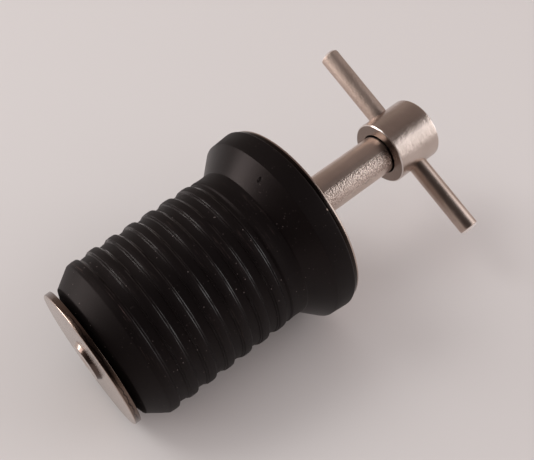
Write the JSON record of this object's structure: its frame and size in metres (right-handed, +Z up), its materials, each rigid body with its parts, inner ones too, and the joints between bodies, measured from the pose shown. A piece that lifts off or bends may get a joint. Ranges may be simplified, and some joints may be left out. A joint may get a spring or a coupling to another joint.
{
  "type": "expansion plug",
  "caption": "Ribbed rubber expansion plug with a flange, clamped between steel washers by turning a tee handle, for closing a round drain tube.",
  "frame": {"origin": "on the floor under the middle of the plug as it lies on its side", "axes": "+Z up, +X along the plug from its small end towards the tee handle; the plug's own axis rises from +X by about 5.9 degrees towards the handle"},
  "size_m": [0.0662, 0.0348, 0.0315],
  "materials": {
    "rubber": "matt moulded rubber, lightly dusty",
    "sheet_steel": "stamped stainless sheet, dull polish with fine scratches",
    "spindle_steel": "riveted and threaded stainless steel",
    "sleeve_steel": "grainy satin stainless tube",
    "hub_steel": "satin turned stainless steel",
    "bar_steel": "drawn stainless bar, partly polished and scuffed"
  },
  "bodies": {
    "plug": {"rubber_plug": "rubber", "top_washer": "sheet_steel", "spacer_sleeve": "sleeve_steel"},
    "handle": {"handle_hub": "hub_steel", "tee_bar": "bar_steel", "spindle": "spindle_steel"},
    "clamp": {"clamp_washer": "sheet_steel", "clamp_nut": "sheet_steel"}
  },
  "joints": [
    {"name": "handle_turn", "type": "hinge", "parent": "plug", "child": "handle", "pos_m": [0.02841, 0, 0.01824], "axis": [-0.9947, 0, -0.103], "range_deg": [0, 1800]},
    {"name": "clamp_slide", "type": "slide", "parent": "plug", "child": "clamp", "axis": [0.9947, 0, 0.103], "range_m": [0, 0.004], "deforming": ["rubber_plug"]}
  ],
  "couplings": [
    {"joint": "clamp_slide", "follows": "handle_turn", "m_per_rad": 0.00012732}
  ]
}
